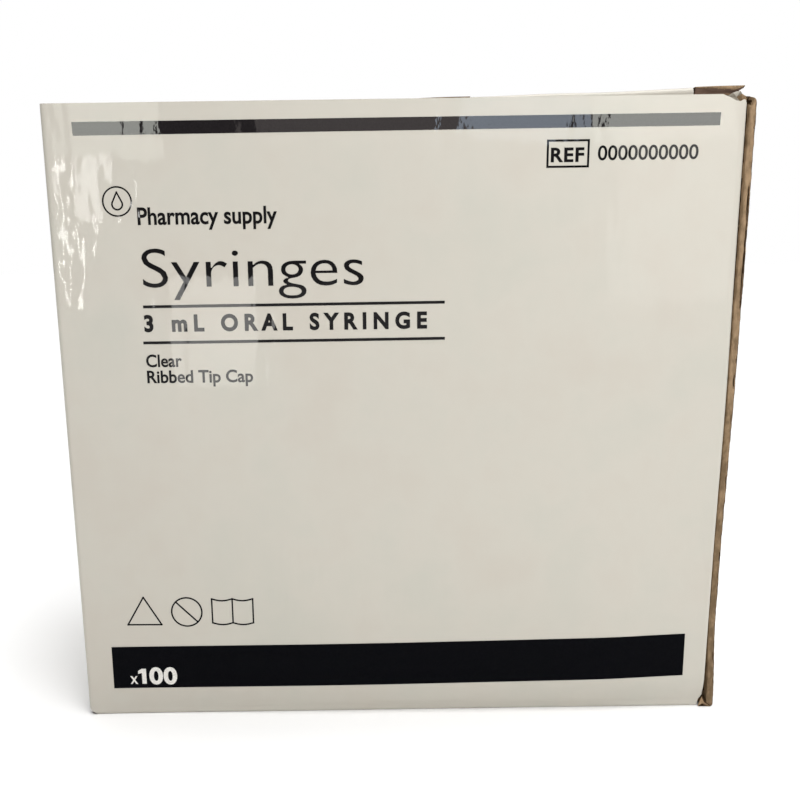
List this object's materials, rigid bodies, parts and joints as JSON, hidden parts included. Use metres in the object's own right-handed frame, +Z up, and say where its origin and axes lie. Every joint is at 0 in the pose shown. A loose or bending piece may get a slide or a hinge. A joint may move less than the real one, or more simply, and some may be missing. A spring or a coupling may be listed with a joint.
{
  "type": "boxed oral syringes",
  "caption": "Closed corrugated shelf carton of small capped oral syringes, with a tuck lid that opens and a syringe on top that draws and uncaps.",
  "frame": {"origin": "middle of the underside of the closed carton", "axes": "+X to the carton's right seen from the front, -Y out of the printed front, +Z up"},
  "size_m": [0.203, 0.088, 0.19],
  "materials": {
    "coated_board": "gloss coated outside, kraft inside",
    "plain_board": "matte kraft",
    "barrel_plastic": "clear polypropylene",
    "plunger_plastic": "natural white, satin",
    "stopper_rubber": "matte black",
    "cap_plastic": "satin, ribbed"
  },
  "bodies": {
    "carton": {"back_panel": "coated_board", "bottom_flap_back": "plain_board", "bottom_flap_front": "plain_board", "bottom_flap_left": "plain_board", "bottom_flap_right": "plain_board", "front_panel": "coated_board", "glue_tab": "plain_board", "left_panel": "coated_board", "lower_left_barrels": "barrel_plastic", "lower_left_plunger_rods": "plunger_plastic", "lower_left_stoppers": "stopper_rubber", "lower_left_tip_caps": "cap_plastic", "lower_right_barrels": "barrel_plastic", "lower_right_plunger_rods": "plunger_plastic", "lower_right_stoppers": "stopper_rubber", "lower_right_tip_caps": "cap_plastic", "middle_left_barrels": "barrel_plastic", "middle_left_plunger_rods": "plunger_plastic", "middle_left_stoppers": "stopper_rubber", "middle_left_tip_caps": "cap_plastic", "middle_right_barrels": "barrel_plastic", "middle_right_plunger_rods": "plunger_plastic", "middle_right_stoppers": "stopper_rubber", "middle_right_tip_caps": "cap_plastic", "right_panel": "coated_board", "syringe_barrel": "barrel_plastic", "top_barrels": "barrel_plastic", "top_plunger_rods": "plunger_plastic", "top_stoppers": "stopper_rubber", "top_tip_caps": "cap_plastic", "upper_left_barrels": "barrel_plastic", "upper_left_plunger_rods": "plunger_plastic", "upper_left_stoppers": "stopper_rubber", "upper_left_tip_caps": "cap_plastic", "upper_right_barrels": "barrel_plastic", "upper_right_plunger_rods": "plunger_plastic", "upper_right_stoppers": "stopper_rubber", "upper_right_tip_caps": "cap_plastic"},
    "lid": {"lid_panel": "coated_board"},
    "tuck_tab_left": {"tuck_tab_left": "plain_board"},
    "tuck_tab_right": {"tuck_tab_right": "plain_board"},
    "dust_flap_left": {"dust_flap_left": "plain_board"},
    "dust_flap_right": {"dust_flap_right": "plain_board"},
    "plunger": {"syringe_plunger_rod": "plunger_plastic", "syringe_stopper": "stopper_rubber"},
    "tip_cap": {"syringe_tip_cap": "cap_plastic"}
  },
  "joints": [
    {"name": "lid_hinge", "type": "hinge", "parent": "carton", "child": "lid", "pos_m": [0, 0.044, 0.19], "axis": [-1, 0, 0], "range_deg": [0, 250]},
    {"name": "dust_flap_left_fold", "type": "hinge", "parent": "carton", "child": "dust_flap_left", "pos_m": [-0.1015, 0, 0.187], "axis": [0, -1, 0], "range_deg": [0, 100]},
    {"name": "dust_flap_right_fold", "type": "hinge", "parent": "carton", "child": "dust_flap_right", "pos_m": [0.1015, 0, 0.187], "axis": [0, 1, 0], "range_deg": [0, 100]},
    {"name": "tuck_tab_left_fold", "type": "hinge", "parent": "lid", "child": "tuck_tab_left", "pos_m": [-0.0551, -0.0375, 0.187], "axis": [1, 0, 0], "range_deg": [0, 15]},
    {"name": "tuck_tab_right_fold", "type": "hinge", "parent": "lid", "child": "tuck_tab_right", "pos_m": [0.0521, -0.0375, 0.187], "axis": [1, 0, 0], "range_deg": [0, 15]},
    {"name": "plunger_slide", "type": "slide", "parent": "carton", "child": "plunger", "axis": [-1, 0, 0], "range_m": [0, 0.052]},
    {"name": "tip_cap_slide", "type": "slide", "parent": "carton", "child": "tip_cap", "axis": [1, 0, 0], "range_m": [0, 0.015]}
  ],
  "couplings": [
    {"joint": "dust_flap_left_fold", "follows": "lid_hinge", "ratio": 0.4},
    {"joint": "dust_flap_right_fold", "follows": "lid_hinge", "ratio": 0.4}
  ]
}
